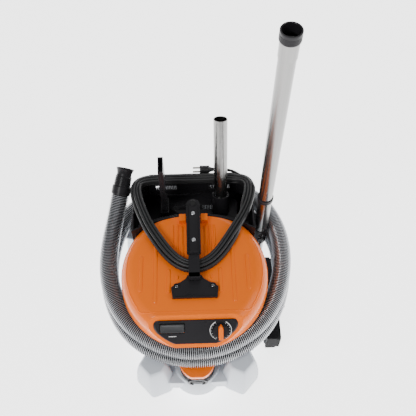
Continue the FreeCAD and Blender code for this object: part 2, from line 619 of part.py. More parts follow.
PARTS = {
    "castor_base": castor_base,
    "tank": tank,
    "tank_seal": tank_seal,
    "front_boss": front_boss,
    "boss_cap": boss_cap,
    "inlet_elbow": inlet_elbow,
    "dust_bag": lambda: tub_prism(-14, TUB_Z0 + 5, 138),
    "tool_bracket": tool_bracket,
    "latch_right": latch,
    "latch_left": lambda: mirror_x(latch()),
    "latch_pins": lambda: group(*both_sides(rod((152, -28, 228), (152, 28, 228), 2))),
    "hose": lambda: tube_along(HOSE_ROUTE, HOSE_D, "hose"),
    "hose_cuff_inlet": cuff_inlet,
    "hose_cuff_hand": cuff_hand,
    "head_base": head_base,
    "tool_tray": tool_tray,
    "motor_cover": motor_cover,
    "control_panel": control_panel,
    "power_rocker": power_rocker,
    "knob_base": knob_base,
    "knob_grip": knob_grip,
    "power_switch": power_switch,
    "speed_control": speed_control,
    "carry_handle": carry_handle,
    "handle_screws": handle_screws,
    "fan_housing": fan_housing,
    "motor_stator": motor_stator,
    "rotor": rotor,
    "impeller": impeller,
    "filter_cage": filter_cage,
    "filter_cartridge": filter_cartridge,
    "exhaust_filter": lambda: box(-128, -84, -42, 42, 290, 326),
    "cable_gland": cable_gland,
    "cable_coil": cable_coil,
    "cable_tail": lambda: tube_along(TAIL_ROUTE, CABLE_D, "cable tail"),
    "plug_body": plug_body,
    "plug_pins": plug_pins,
    "hand_tube": hand_tube,
    "crevice_tool": crevice_tool,
    "wand_inner": wand_inner,
    "wand_outer": wand_outer,
    "wand_collar": wand_collar,
    "wand_adjuster": wand_adjuster,
    "adjuster_button": adjuster_button,
    "floor_tool_body": floor_tool_body,
    "floor_tool_neck": floor_tool_neck,
    "floor_tool_pedal": floor_tool_pedal,
    "floor_tool_rollers": floor_tool_rollers,
    "floor_tool_brush": floor_tool_brush,
}

CASTORS = {"fl": (-FRONT_LOBE[0], FRONT_LOBE[1]), "fr": FRONT_LOBE,
           "rl": (-REAR_LOBE[0], REAR_LOBE[1]), "rr": REAR_LOBE}


def main():
    os.makedirs("parts", exist_ok=True)
    shapes = {name: make() for name, make in PARTS.items()}
    for corner, (x, y) in CASTORS.items():
        shapes[f"castor_fork_{corner}"] = castor_fork(x, y)
        shapes[f"castor_wheel_{corner}"] = castor_wheel(x, y)
    for name, shape in shapes.items():
        if not shape.isValid() or not shape.Solids:
            print(f"{name} is not a valid solid")
        shape.exportStep(f"parts/{name}.step")
    print(len(shapes), "nodes")


main()
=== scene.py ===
"""Looks of the canister vacuum cleaner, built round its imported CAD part.

Shapes are given in millimetres in the part's frame and made in metres: the origin is on the floor
under the tub's axis, +Z up, +Y to the rear tray and +X to the wand.
"""

import json
import math
import random

import bmesh
import bpy
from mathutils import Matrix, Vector
from mathutils.bvhtree import BVHTree

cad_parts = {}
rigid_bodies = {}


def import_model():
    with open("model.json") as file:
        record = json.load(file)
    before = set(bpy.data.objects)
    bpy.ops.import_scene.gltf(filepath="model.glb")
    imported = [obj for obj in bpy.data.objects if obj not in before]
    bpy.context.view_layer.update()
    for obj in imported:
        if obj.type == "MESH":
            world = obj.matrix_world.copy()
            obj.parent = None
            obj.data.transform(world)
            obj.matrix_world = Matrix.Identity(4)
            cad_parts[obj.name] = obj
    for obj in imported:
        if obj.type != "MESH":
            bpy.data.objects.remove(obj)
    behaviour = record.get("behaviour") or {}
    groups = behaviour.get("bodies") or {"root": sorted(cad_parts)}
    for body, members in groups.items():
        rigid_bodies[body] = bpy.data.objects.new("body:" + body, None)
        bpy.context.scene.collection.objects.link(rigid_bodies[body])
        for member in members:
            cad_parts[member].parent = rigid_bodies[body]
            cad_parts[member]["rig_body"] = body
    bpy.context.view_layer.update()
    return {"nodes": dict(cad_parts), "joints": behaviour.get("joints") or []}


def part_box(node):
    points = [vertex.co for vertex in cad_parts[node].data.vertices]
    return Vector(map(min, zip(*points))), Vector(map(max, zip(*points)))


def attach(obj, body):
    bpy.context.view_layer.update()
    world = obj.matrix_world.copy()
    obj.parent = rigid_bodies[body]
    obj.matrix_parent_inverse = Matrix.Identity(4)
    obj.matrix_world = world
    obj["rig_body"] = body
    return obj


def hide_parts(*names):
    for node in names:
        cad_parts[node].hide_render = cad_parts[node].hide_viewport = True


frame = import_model()
nodes = frame["nodes"]
rng = random.Random(11)

MM = 0.001
UP = (0, 0, 1)


def extent(node):
    """A node's lowest and highest corner in millimetres, to a tenth."""
    return [[round(c / MM, 1) for c in corner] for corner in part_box(node)]


def middle(node):
    """The middle of a node's box in millimetres."""
    return [(a + b) / 2 for a, b in zip(*extent(node))]


def pivot(joint):
    """Where a hinge stands in plan, in millimetres."""
    x, y, _ = next(j["pos_m"] for j in frame["joints"] if j["name"] == joint)
    return round(x / MM, 1), round(y / MM, 1)


# Head: the plateau's height, the sloping panel's top edge (y, z) and tilt, the knob and rocker on it
# (x across, s down the slope), how high its print starts, and the handle's screws and eye
COVER_TOP = extent("carry_handle")[0][2]
PANEL_TOP, PANEL_TILT = (-120.4, COVER_TOP), math.radians(49.4)
KNOB_X, KNOB_S = 58.0, 42.0
KNURLS = 36
ROCKER_X, ROCKER_S = -55.0, 33.0
PRINT_N = 2.9
FOOT_SCREW_X, FOOT_SCREW_Y = 43, -52
BAR_SCREWS_Y = (58, 133)
BAR_EYE_Y = 162

# Base: the tub's outline, the lobes with the way a right-hand one points, the boss and the rests
TUB_HALF, TUB_REAR, TUB_CORNER = -extent("tank")[0][1], extent("tank")[1][1], 95
LOBE_WAYS = {"f": (0.733, -0.68), "r": (0.707, 0.707)}
LOBE_PLAN = [(42.5, 33.3), (-4, 54), (-36, 42), (-36, -42), (-8, -50), (42.5, -33.3)]
DECK_LOW, DECK_TOP = 58, 104
BOSS_Y, BOSS_R, BOSS_MOUTH_Z = -176, 45.5, 126
REST_X, REST_Y, REST_TOP = 172, 215, extent("castor_base")[1][2]

# Tubes and tools: where the wand and the crevice tool stand, and the hand tube's end and lean
WAND = middle("wand_outer")[:2]
CREVICE = middle("crevice_tool")[:2]
HAND_AT, HAND_LEAN = (74, 226, 305), math.radians(25)
TUBE_WALL = 1.5

# Hose: radius, corrugation pitch, and how far each ring of one corrugation stands from the radius
HOSE_R, HOSE_PITCH, HOSE_SIDES = 24.0, 4.6, 30
HOSE_SWELL = (0.0, -0.3, -2.7, -3.2, -2.7)
# How far below the radius a ring must sink for the painted shade in the grooves to reach its darkest
GROOVE_DEPTH = 2.6
HOSE_ROUTE = [
    (25, 252, 196), (72, 252, 197), (121, 244, 199), (166, 221, 201), (201, 186, 201),
    (224, 141, 201), (232, 91, 201), (230, 40, 201), (219, -12, 201), (199, -62, 201),
    (169, -107, 201), (128, -142, 201), (80, -166, 201), (27, -178, 201), (-27, -178, 201),
    (-80, -166, 201), (-128, -142, 201), (-169, -107, 201), (-198, -62, 201), (-217, -12, 201),
    (-227, 38, 201), (-229, 90, 201), (-222, 142, 202), (-207, 192, 203), (-183, 237, 205),
    (-149, 274, 208), (-105, 299, 212), (-54, 310, 218), (-2, 312, 225), (50, 309, 233),
    (100, 297, 239), (150, 274, 243), (188, 237, 246), (212, 190, 249), (226, 143, 250),
    (231, 94, 250), (227, 42, 250), (215, -10, 250), (194, -59, 250), (163, -103, 250),
    (122, -137, 250), (75, -161, 250), (25, -173, 250), (-25, -173, 250), (-75, -161, 250),
    (-122, -136, 250), (-162, -102, 250), (-192, -60, 250), (-213, -12, 250), (-223, 38, 250),
    (-225, 86, 251), (-221, 132, 255), (-213, 175, 267), (-203, 211, 288), (-194, 240, 312),
]
INLET_AT = (0, *middle("hose_cuff_inlet")[1:])
CUFF_MOUTH = (-178, 292, 355)

# Mains cable: radius, turns, the rise from one layer of the band to the next, how far a point may
# stray sideways and upwards, the way in from the gland, half of one turn, and the loose end
CABLE_R, TURNS, LAYER_RISE = 3.75, 11, 6.3
STRAY, STRAY_UP = 0.7, 0.5
GLAND_TIP = (117, 148, 327)
LEAD_ROUTE = [GLAND_TIP, (123, 160, 331), (129, 172, 335)]
COIL_HALF_ROUTE = [
    (0, -8, 356), (52, 14, 357), (108, 100, 357), (132, 158, 351), (147, 205, 345),
    (151, 238, 340), (142, 262, 333), (114, 275, 326), (60, 276, 325), (0, 276, 325),
]
TAIL_ROUTE = [(122, 285, 328), (110, 294, 327), (95, 300, 326), (78, 303, 325), (60, 303, 325)]
PLUG_AT = (0, *middle("plug_body")[1:])


# ---------- camera ----------

def make_camera():
    """Looks down at the front of the machine, 58.5 degrees below the horizontal."""
    data = bpy.data.cameras.new("camera")
    data.lens, data.sensor_width = 50, 36
    camera = bpy.data.objects.new("camera", data)
    camera.location = (0.0135, -0.609, 1.613)
    camera.rotation_euler = (math.radians(31.5), 0, math.radians(-1.83))
    bpy.context.scene.collection.objects.link(camera)
    bpy.context.scene.camera = camera


# ---------- materials ----------

def material(name, color, rough, metallic=0.0, coat=0.0, grain=900.0, bump=0.05, shade=0.06,
             rough_spread=0.05, blotch=14.0, stretch=(1, 1, 1), specular=0.5):
    """A moulded, metal or rubber surface: slow colour and gloss variation over a fine grain."""
    made = bpy.data.materials.new(name)
    made.use_nodes = True
    tree = made.node_tree
    link, new = tree.links.new, tree.nodes.new
    shader = tree.nodes["Principled BSDF"]
    place = new("ShaderNodeTexCoord")
    scale = new("ShaderNodeMapping")
    scale.inputs["Scale"].default_value = stretch
    link(place.outputs["Object"], scale.inputs["Vector"])

    slow = new("ShaderNodeTexNoise")
    slow.inputs["Scale"].default_value = blotch
    slow.inputs["Detail"].default_value = 5
    link(scale.outputs["Vector"], slow.inputs["Vector"])
    mix = new("ShaderNodeMix")
    mix.data_type = "RGBA"
    mix.inputs[6].default_value = (*[c * (1 - shade) for c in color], 1)
    mix.inputs[7].default_value = (*[min(1, c * (1 + shade)) for c in color], 1)
    link(slow.outputs["Fac"], mix.inputs[0])
    link(mix.outputs[2], shader.inputs["Base Color"])
    gloss = new("ShaderNodeMapRange")
    gloss.inputs["To Min"].default_value = max(0.02, rough - rough_spread)
    gloss.inputs["To Max"].default_value = min(1, rough + rough_spread)
    link(slow.outputs["Fac"], gloss.inputs["Value"])
    link(gloss.outputs["Result"], shader.inputs["Roughness"])

    fine = new("ShaderNodeTexNoise")
    fine.inputs["Scale"].default_value = grain
    fine.inputs["Detail"].default_value = 2
    link(scale.outputs["Vector"], fine.inputs["Vector"])
    relief = new("ShaderNodeBump")
    relief.inputs["Strength"].default_value = bump
    relief.inputs["Distance"].default_value = 0.0004
    link(fine.outputs["Fac"], relief.inputs["Height"])
    link(relief.outputs["Normal"], shader.inputs["Normal"])

    shader.inputs["Metallic"].default_value = metallic
    shader.inputs["Coat Weight"].default_value = coat
    shader.inputs["Coat Roughness"].default_value = 0.08
    shader.inputs["Specular IOR Level"].default_value = specular
    return made


def darken_by(made, attribute, floor):
    """Multiplies the base colour down to floor where the attribute is 1, as shade does in grooves."""
    tree = made.node_tree
    shader = tree.nodes["Principled BSDF"]
    source = shader.inputs["Base Color"].links[0].from_socket
    groove_shade = tree.nodes.new("ShaderNodeAttribute")
    groove_shade.attribute_name = attribute
    level = tree.nodes.new("ShaderNodeMapRange")
    level.inputs["To Min"].default_value = 1.0
    level.inputs["To Max"].default_value = floor
    tree.links.new(groove_shade.outputs["Fac"], level.inputs["Value"])
    scaled = tree.nodes.new("ShaderNodeVectorMath")
    scaled.operation = "SCALE"
    tree.links.new(source, scaled.inputs[0])
    tree.links.new(level.outputs["Result"], scaled.inputs["Scale"])
    tree.links.new(scaled.outputs["Vector"], shader.inputs["Base Color"])


# The record's slots, then finishes that aren't slots of their own
MATERIALS = {
    "orange_plastic": material("orange", (1.0, 0.175, 0.0), 0.24, coat=0.12, bump=0.02, shade=0.04,
                               specular=0.22),
    "black_plastic": material("black", (0.018, 0.0172, 0.0195), 0.28, bump=0.04, shade=0.2,
                              specular=0.16),
    "grey_plastic": material("light_grey", (0.66, 0.70, 0.76), 0.4, bump=0.10, shade=0.03),
    "dark_grey_plastic": material("dark_grey", (0.03, 0.031, 0.034), 0.38, bump=0.12, shade=0.12,
                                  specular=0.4),
    # The chrome's long dark and light streaks along the tubes are partly the steel's finish and partly
    # painted reflection of dark surroundings
    "chrome_tube": material("chrome", (0.27, 0.267, 0.263), 0.26, 1.0, bump=0.02, shade=0.25,
                            blotch=130, stretch=(1, 1, 0.01), grain=500, rough_spread=0.03),
    "hose_grey": material("hose_grey", (0.52, 0.53, 0.56), 0.26, 0.5, coat=0.1, bump=0.03, shade=0.08),
    "cable_rubber": material("cable", (0.014, 0.014, 0.015), 0.45, bump=0.08, shade=0.2),
    "seal_rubber": material("seal", (0.02, 0.02, 0.02), 0.6, bump=0.15, shade=0.2),
    "wheel_rubber": material("tread", (0.035, 0.036, 0.038), 0.62, bump=0.25, shade=0.25),
    "steel": material("steel", (0.62, 0.63, 0.65), 0.28, 1.0, bump=0.05, stretch=(1, 1, 0.1)),
    "pin_brass": material("nickel_pin", (0.36, 0.34, 0.30), 0.25, 1.0, bump=0.03),
    "filter_cloth": material("filter_cloth", (0.78, 0.77, 0.72), 0.9, bump=0.5, grain=1800, shade=0.1),
    "bag_paper": material("bag_fleece", (0.62, 0.47, 0.30), 0.92, bump=0.6, grain=700, shade=0.12),
    "board_green": material("board", (0.03, 0.16, 0.06), 0.4, bump=0.1, shade=0.2),
    "motor_alloy": material("alloy", (0.58, 0.59, 0.61), 0.42, 1.0, bump=0.2, grain=500),
    "brush_fibre": material("bristle", (0.05, 0.05, 0.05), 0.85, bump=0.8, grain=1500, shade=0.3),
    "matt_black": material("matt_black", (0.02, 0.02, 0.021), 0.6, bump=0.2, shade=0.2, specular=0.04),
    "marking": material("marking", (0.85, 0.85, 0.85), 0.45, bump=0.02, shade=0.02),
    # Near-black painted shade for the insides of holes and recesses, laid in as thin discs and strips
    "hole_shade": material("hole_shade", (0.004, 0.004, 0.004), 0.7, bump=0.05, shade=0.2),
}

# Painted shade in the hose's grooves: the colour falls to 2 percent where the rings sink deepest
darken_by(MATERIALS["hose_grey"], "groove_shade", 0.02)


# ---------- the nodes that keep their CAD form ----------

SLOT_OF = {
    "tank": "grey_plastic", "tank_seal": "seal_rubber", "inlet_elbow": "black_plastic",
    "dust_bag": "bag_paper", "tool_bracket": "black_plastic", "latch_right": "dark_grey_plastic",
    "latch_left": "dark_grey_plastic", "latch_pins": "steel", "head_base": "black_plastic",
    "tool_tray": "black_plastic", "motor_cover": "orange_plastic", "control_panel": "black_plastic",
    "power_switch": "dark_grey_plastic", "speed_control": "board_green",
    "fan_housing": "motor_alloy", "motor_stator": "motor_alloy", "rotor": "steel",
    "impeller": "motor_alloy", "filter_cage": "dark_grey_plastic", "filter_cartridge": "filter_cloth",
    "exhaust_filter": "filter_cloth", "cable_gland": "seal_rubber", "crevice_tool": "black_plastic",
    "wand_adjuster": "black_plastic", "adjuster_button": "dark_grey_plastic",
    "floor_tool_body": "black_plastic", "floor_tool_neck": "dark_grey_plastic",
    "floor_tool_pedal": "dark_grey_plastic", "floor_tool_rollers": "wheel_rubber",
    "floor_tool_brush": "brush_fibre",
}
# Edge radius of each node that is shown with rounded edges
SOFTENED = {
    "tank": 1.0, "inlet_elbow": 0.8, "head_base": 0.8, "tool_tray": 1.0, "motor_cover": 1.0,
    "control_panel": 0.9, "crevice_tool": 0.9, "wand_adjuster": 0.7, "adjuster_button": 0.8,
    "floor_tool_body": 2.0, "floor_tool_neck": 1.0, "floor_tool_pedal": 1.4, "latch_right": 1.2,
    "latch_left": 1.2, "tool_bracket": 1.0, "cable_gland": 0.6,
}
for corner in ("fl", "fr", "rl", "rr"):
    SLOT_OF[f"castor_fork_{corner}"] = "dark_grey_plastic"
    SLOT_OF[f"castor_wheel_{corner}"] = "wheel_rubber"
    SOFTENED[f"castor_fork_{corner}"] = 0.6
    SOFTENED[f"castor_wheel_{corner}"] = 1.2
# A node whose finish differs from its slot's usual one
OWN_FINISH = {"floor_tool_body": "matt_black"}


# ---------- shapes ----------

def shade_smooth(mesh, angle):
    for face in mesh.polygons:
        face.use_smooth = True
    mesh.set_sharp_from_angle(angle=math.radians(angle))


def finish_piece(name, mesh, body, slot, replaces=(), angle=38, weighted=True, finish=None):
    """Makes a mesh a piece of the look: its shading, its material by finish or slot, its body and the nodes
    it replaces.
    """
    shade_smooth(mesh, angle)
    mesh.materials.clear()
    mesh.materials.append(MATERIALS[finish or slot])
    piece = bpy.data.objects.new(name, mesh)
    bpy.context.scene.collection.objects.link(piece)
    if weighted:
        normals = piece.modifiers.new("normals", "WEIGHTED_NORMAL")
        normals.keep_sharp = True
    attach(piece, body)
    if replaces:
        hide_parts(*replaces)
    return piece


def bevel_edges(work, angle, width):
    """Rounds the edges of a bmesh in metres that are sharper than angle, in degrees."""
    sharp = [e for e in work.edges
             if len(e.link_faces) == 2 and e.calc_face_angle(0) > math.radians(angle)]
    bmesh.ops.bevel(work, geom=sharp, offset=width * MM, segments=2, profile=0.5,
                    affect="EDGES", clamp_overlap=False)


def soften(node, width):
    """A CAD node's own form with its edges rounded to the moulding's radius."""
    source = nodes[node]
    work = bmesh.new()
    work.from_mesh(source.data)
    bmesh.ops.remove_doubles(work, verts=work.verts, dist=0.02 * MM)
    bmesh.ops.dissolve_limit(work, angle_limit=math.radians(0.6), verts=work.verts, edges=work.edges)
    bmesh.ops.dissolve_degenerate(work, dist=0.05 * MM, edges=work.edges)
    skin = BVHTree.FromBMesh(work)
    bevel_edges(work, 26, width)
    # A bevel that shot past its corner goes back to the nearest point of the CAD skin
    for vert in work.verts:
        near, _, _, away = skin.find_nearest(vert.co)
        if away > 0.6 * width * MM:
            vert.co = near
    mesh = bpy.data.meshes.new(f"{node}_form")
    work.to_mesh(mesh)
    work.free()
    for name in ("custom_normal", "sharp_face", "sharp_edge"):
        if name in mesh.attributes:
            mesh.attributes.remove(mesh.attributes[name])
    return finish_piece(f"{node}_form", mesh, source["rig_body"], SLOT_OF[node], [node],
                        finish=OWN_FINISH.get(node))


class Form:
    """Vertices and faces of one piece, gathered in millimetres."""

    def __init__(self):
        self.verts, self.faces = [], []

    def loft(self, rings, closed=False):
        """Rings of equally many points, joined in order, with end caps or closed into a loop."""
        base, count = len(self.verts), len(rings[0])
        for ring in rings:
            self.verts += [tuple(p) for p in ring]
        spans = len(rings) if closed else len(rings) - 1
        for k in range(spans):
            a, b = base + k * count, base + (k + 1) % len(rings) * count
            for i in range(count):
                j = (i + 1) % count
                self.faces.append((a + i, a + j, b + j, b + i))
        if not closed:
            last = base + spans * count
            self.faces.append(tuple(base + i for i in range(count))[::-1])
            self.faces.append(tuple(last + i for i in range(count)))
        return self

    def turned(self, profile, at=(0, 0, 0), axis=UP, steps=64, closed=False):
        """A turned form. The profile is (radius, distance along the axis) pairs, in order."""
        along = Vector(axis).normalized()
        side = along.orthogonal().normalized()
        other = along.cross(side)
        rings = []
        for r, t in profile:
            centre = Vector(at) + along * t
            ring = []
            for i in range(steps):
                a = 2 * math.pi * i / steps
                ring.append(centre + (side * math.cos(a) + other * math.sin(a)) * r)
            rings.append(ring)
        return self.loft(rings, closed=closed)

    def piece(self, name, body, slot, replaces=(), angle=38, bevel=0.0, weighted=True):
        """Makes the gathered form a piece in metres, its edges bevelled where a width is given."""
        mesh = bpy.data.meshes.new(name)
        mesh.from_pydata([tuple(c * MM for c in v) for v in self.verts], [], self.faces)
        work = bmesh.new()
        work.from_mesh(mesh)
        bmesh.ops.recalc_face_normals(work, faces=work.faces)
        if bevel:
            bevel_edges(work, 30, bevel)
        work.to_mesh(mesh)
        work.free()
        return finish_piece(name, mesh, body, slot, replaces, angle, weighted)


# ---------- plane outlines ----------

def circle(radius, steps):
    return [(radius * math.cos(2 * math.pi * i / steps), radius * math.sin(2 * math.pi * i / steps))
            for i in range(steps)]


def arc(cx, cy, r, start, stop, steps=10):
    """Points of an arc from one angle to another, in degrees."""
    points = []
    for k in range(steps + 1):
        a = math.radians(start + (stop - start) * k / steps)
        points.append((cx + r * math.cos(a), cy + r * math.sin(a)))
    return points


def rectangle(x0, x1, y0, y1):
    return [(x0, y0), (x1, y0), (x1, y1), (x0, y1)]


def rounded_rect(half_x, half_y, radius, steps=6):
    points = []
    for cx, cy, start in ((1, 1, 0), (-1, 1, 90), (-1, -1, 180), (1, -1, 270)):
        for k in range(steps + 1):
            a = math.radians(start + 90 * k / steps)
            points.append((cx * (half_x - radius) + radius * math.cos(a),
                           cy * (half_y - radius) + radius * math.sin(a)))
    return points


def rounded(corners, radius, steps=5):
    """A closed outline with straight runs and rounded corners."""
    outline, count = [], len(corners)
    for k, (x, y) in enumerate(corners):
        here = Vector((x, y))
        back, ahead = Vector(corners[k - 1]) - here, Vector(corners[(k + 1) % count]) - here
        reach = min(radius, 0.45 * back.length, 0.45 * ahead.length)
        start, stop = here + back.normalized() * reach, here + ahead.normalized() * reach
        for j in range(steps + 1):
            f = j / steps
            outline.append((1 - f) ** 2 * start + 2 * f * (1 - f) * here + f * f * stop)
    return outline


def moved(outline, x, y):
    return [(x + a, y + b) for a, b in outline]


def scaled(outline, kx, ky=1):
    return [(x * kx, y * ky) for x, y in outline]


def mirrored(outline):
    """The outline's mirror image across x = 0, run backwards to keep its sense."""
    return [(-x, y) for x, y in outline[::-1]]


def at_height(outline, z):
    return [(x, y, z) for x, y in outline]


def prism(form, outline, low, high, edge=0.8):
    """An upright prism with a rounded top and bottom edge, from a plan outline given anticlockwise."""
    def inset(d):
        ring, count = [], len(outline)
        for i, (x, y) in enumerate(outline):
            (ax, ay), (bx, by) = outline[i - 1], outline[(i + 1) % count]
            e0 = Vector((x - ax, y - ay)).normalized()
            e1 = Vector((bx - x, by - y)).normalized()
            n0, n1 = Vector((-e0.y, e0.x)), Vector((-e1.y, e1.x))
            bend = max(0.35, 1 + n0.dot(n1))
            move = (n0 + n1) * (d / bend)
            ring.append((x + move.x, y + move.y))
        return ring

    levels = [(edge, low), (edge * 0.3, low + edge * 0.3), (0, low + edge), (0, high - edge),
              (edge * 0.3, high - edge * 0.3), (edge, high)]
    form.loft([at_height(inset(d), z) for d, z in levels])


def block(form, at, half, radius, low, high, edge=0.8):
    """A prism over a rounded rectangle, given by its centre and its half sides."""
    prism(form, moved(rounded_rect(*half, radius, 3), *at), low, high, edge)


def facet(x, s, n):
    """A point of the sloping panel: x across, s down from its top edge, n outwards."""
    cos, sin = math.cos(PANEL_TILT), math.sin(PANEL_TILT)
    return (x, PANEL_TOP[0] - s * cos - n * sin, PANEL_TOP[1] - s * sin + n * cos)


# ---------- cords ----------

def nurbs(name, route, steps):
    """A smooth curve with the route's points as its control points."""
    data = bpy.data.curves.new(name, "CURVE")
    data.dimensions = "3D"
    spline = data.splines.new("NURBS")
    spline.points.add(len(route) - 1)
    for point, (x, y, z) in zip(spline.points, route):
        point.co = (x * MM, y * MM, z * MM, 1)
    spline.order_u = 3
    spline.use_endpoint_u = True
    spline.resolution_u = data.resolution_u = steps
    piece = bpy.data.objects.new(name, data)
    bpy.context.scene.collection.objects.link(piece)
    return piece


def line_of(curve):
    """The points of a curve that has no bevel, in order, in metres."""
    bpy.context.view_layer.update()
    mesh = bpy.data.meshes.new_from_object(curve)
    points = [v.co.copy() for v in mesh.vertices]
    bpy.data.meshes.remove(mesh)
    return points


def evenly(points, gap):
    """Points a fixed distance apart along a line, from its first point to near its last."""
    spaced, left = [points[0].copy()], gap
    for a, b in zip(points, points[1:]):
        run = (b - a).length
        while run >= left and run > 0:
            a = a.lerp(b, left / run)
            spaced.append(a.copy())
            run, left = (b - a).length, gap
        left -= run
    return spaced


def hose():
    """The corrugated hose: a tube round its route's line, wide on the ribs and narrow between them."""
    guide = nurbs("hose_guide", HOSE_ROUTE, 20)
    line = line_of(guide)
    bpy.data.objects.remove(guide)
    spots = evenly(line, HOSE_PITCH * MM / len(HOSE_SWELL))
    swells = [HOSE_SWELL[k % len(HOSE_SWELL)] for k in range(len(spots))]
    angles = [2 * math.pi * i / HOSE_SIDES for i in range(HOSE_SIDES)]
    normal = Vector(UP)
    rings = []
    for k, (spot, swell) in enumerate(zip(spots, swells)):
        tangent = (spots[min(k + 3, len(spots) - 1)] - spots[max(k - 3, 0)]).normalized()
        normal = (normal - tangent * normal.dot(tangent)).normalized()
        across = tangent.cross(normal)
        rings.append([spot / MM + (normal * math.cos(a) + across * math.sin(a)) * (HOSE_R + swell)
                      for a in angles])
    form = Form().loft(rings)
    piece = form.piece("hose_tube", "base", "hose_grey", ["hose"], angle=80, weighted=False)
    # Painted shade in the grooves: 0 on the ribs, rising to 1 where a ring sinks GROOVE_DEPTH or more
    groove_shade = piece.data.attributes.new("groove_shade", "FLOAT", "POINT")
    groove_shade.data.foreach_set("value", [min(1.0, -swell / GROOVE_DEPTH) for swell in swells for _ in angles])
    return piece, line


def cable_route():
    """The wound band: eleven turns, up to four abreast and three deep, then the loose end."""
    half = COIL_HALF_ROUTE
    loop = half[3:] + [(-x, y, z) for x, y, z in half[-2:0:-1]] + half[:3]
    inside = Vector((0, 150, 0))
    lanes = [(place * 2 * CABLE_R, layer * LAYER_RISE)
             for layer in (-1, 0, 1) for place in (-1.5, -0.5, 0.5, 1.5)]
    route = list(LEAD_ROUTE)
    for turn in range(TURNS + 1):
        lane, rise = lanes[turn]
        count = len(loop) if turn < TURNS else 3
        for k in range(count):
            if turn == 0 and k == 0:
                continue
            spot = Vector(loop[k])
            before, after = Vector(loop[k - 1]), Vector(loop[(k + 1) % len(loop)])
            on = (after - before).normalized()
            out = Vector((on.y, -on.x, 0)).normalized()
            if out.dot(spot - inside) < 0:
                out = -out
            stray = Vector([rng.uniform(-most, most) for most in (STRAY, STRAY, STRAY_UP)])
            spot = spot + out * lane + Vector((0, 0, rise)) + stray
            route.append(tuple(spot))
    return route + TAIL_ROUTE


def mains_cable():
    """The cable as one smooth curve through the wound band and its loose end."""
    piece = nurbs("mains_cable", cable_route(), 8)
    piece.data.bevel_depth = CABLE_R * MM
    piece.data.bevel_resolution = 3
    piece.data.use_fill_caps = True
    piece.data.materials.append(MATERIALS["cable_rubber"])
    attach(piece, "head")
    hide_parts("cable_coil", "cable_tail")
    return piece


def hose_cuffs():
    """The hand cuff, stepped, ribbed and flared at its mouth, and the ringed cuff at the inlet."""
    start, mouth = Vector(HOSE_ROUTE[-1]), Vector(CUFF_MOUTH)
    long = (mouth - start).length
    profile = [(24.3, -1), (25, -0.2), (25, 20), (24.2, 21.6), (22.4, 22.2), (22.2, 23)]
    for k in range(5):
        t = 26 + 4.6 * k
        r = 21.9 - 0.25 * k
        profile += [(r, t), (r + 1.0, t + 0.6), (r + 1.0, t + 2.2), (r - 0.1, t + 2.8)]
    profile += [(19.8, 51), (19.6, long - 14), (21.2, long - 7), (23.6, long - 1.2)]
    profile += [(23.9, long - 0.4), (23.6, long), (22.6, long - 0.2), (21, long - 1)]
    profile += [(16.5, long - 13), (16.5, 15), (16.0, 14.6), (0.5, 14.5)]
    hand = Form().turned(profile, start, mouth - start, 56)
    hand = hand.piece("hose_cuff_hand_form", "base", "black_plastic", ["hose_cuff_hand"])

    profile = [(19, -6), (27.2, -6), (28, -5.2)]
    for t in (0, 6, 12, 18):
        profile += [(28, t), (27.2, t + 0.6), (27.2, t + 1.6), (28, t + 2.2)]
    profile += [(28, 24.2), (27.2, 25), (22.5, 25), (22.5, 5), (19, 5)]
    inlet = Form().turned(profile, INLET_AT, (1, 0, 0), 56, closed=True)
    inlet = inlet.piece("hose_cuff_inlet_form", "base", "black_plastic", ["hose_cuff_inlet"])
    return [hand, inlet]


def plug():
    """A ribbed rewirable plug with two pins."""
    profile = [(0.5, 20), (9.6, 20), (11, 20.6), (11.5, 22), (11.5, 27)]
    for k in range(5):
        t = 28 + 3.4 * k
        profile += [(11.5, t), (10.7, t + 0.5), (10.7, t + 1.5), (11.4, t + 2.0)]
    profile += [(11.2, 45), (9.6, 46), (8, 46.6)]
    for k in range(4):
        t = 48 + 3.0 * k
        r = 7.4 - 0.75 * k
        profile += [(r, t), (r - 0.9, t + 0.5), (r - 0.9, t + 1.3), (r - 0.2, t + 1.8)]
    profile += [(4.6, 60), (0.5, 60)]
    body = Form().turned(profile, PLUG_AT, (1, 0, 0), 40)
    body = body.piece("plug_body_form", "head", "cable_rubber", ["plug_body"])
    pins = Form()
    x, y, z = PLUG_AT
    for offset in (-6.5, 6.5):
        pins.turned([(0.4, 1), (1.6, 1.2), (2.4, 2.6), (2.4, 20)], (x, y + offset, z), (1, 0, 0), 24)
    return [body, pins.piece("plug_pins_form", "head", "pin_brass", ["plug_pins"])]


# ---------- control panel ----------

def rocker():
    """The power rocker, with an eased rim round a slightly sunken face."""
    half_x, half_s = 28, 11
    outline = rounded_rect(half_x, half_s, 3)
    rings = []
    for inset, n in ((0, -5), (0, 4.0), (0.5, 4.8), (1.3, 5.0), (4, 4.6), (7.5, 4.0)):
        face = scaled(outline, (half_x - inset) / half_x, (half_s - inset) / half_s)
        rings.append([facet(ROCKER_X + x, ROCKER_S + s, n) for x, s in face])
    form = Form().loft(rings)
    form.piece("power_rocker_form", "power_rocker", "dark_grey_plastic", ["power_rocker"])


